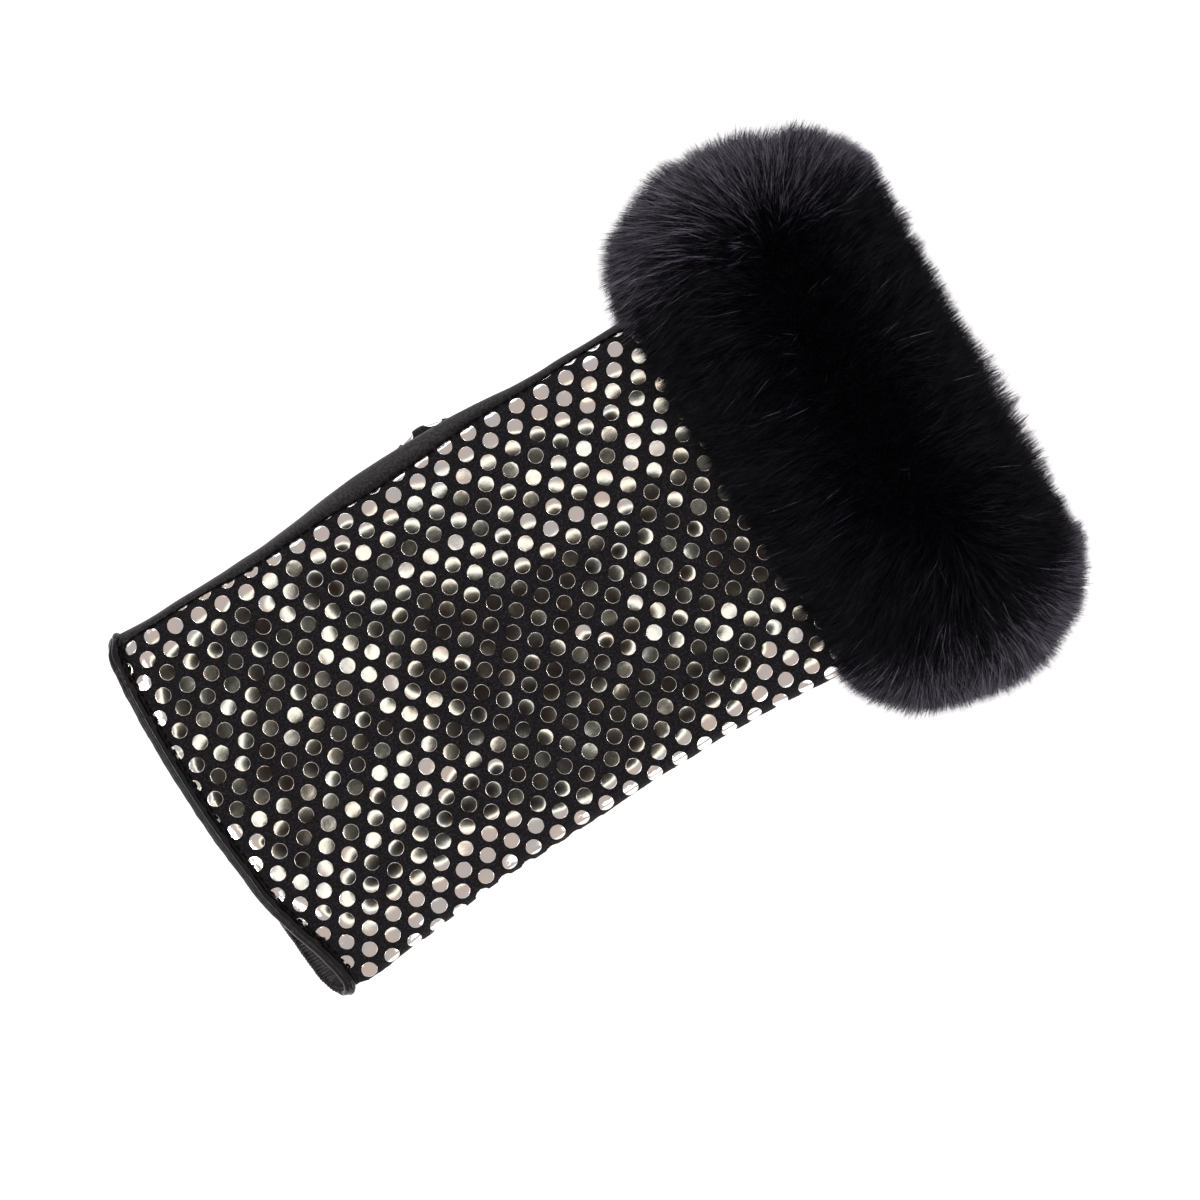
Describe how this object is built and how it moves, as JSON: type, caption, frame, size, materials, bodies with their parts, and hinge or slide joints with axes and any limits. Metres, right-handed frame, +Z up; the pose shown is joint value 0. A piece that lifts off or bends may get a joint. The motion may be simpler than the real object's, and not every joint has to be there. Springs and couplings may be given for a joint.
{
  "type": "fur-cuff fingerless glove",
  "caption": "Short fingerless glove, dotted foil suede back, smooth leather palm, rolled finger binding, folded thumb stall and a deep fur cuff.",
  "frame": {"origin": "on the surface the glove lies on, under the middle of its outline", "axes": "+X from the finger opening to the wrist, +Y to the thumb side, +Z up out of the back of the hand"},
  "size_m": [0.2191, 0.1489, 0.0479],
  "materials": {
    "suede_foil": "black suede with small metallic foil dots",
    "leather": "soft sheen",
    "fur": "deep soft pile"
  },
  "bodies": {
    "root": {"back_panel": "suede_foil", "palm_panel": "leather", "thumb_stall": "suede_foil", "finger_binding": "leather", "fur_cuff": "fur"}
  },
  "joints": []
}
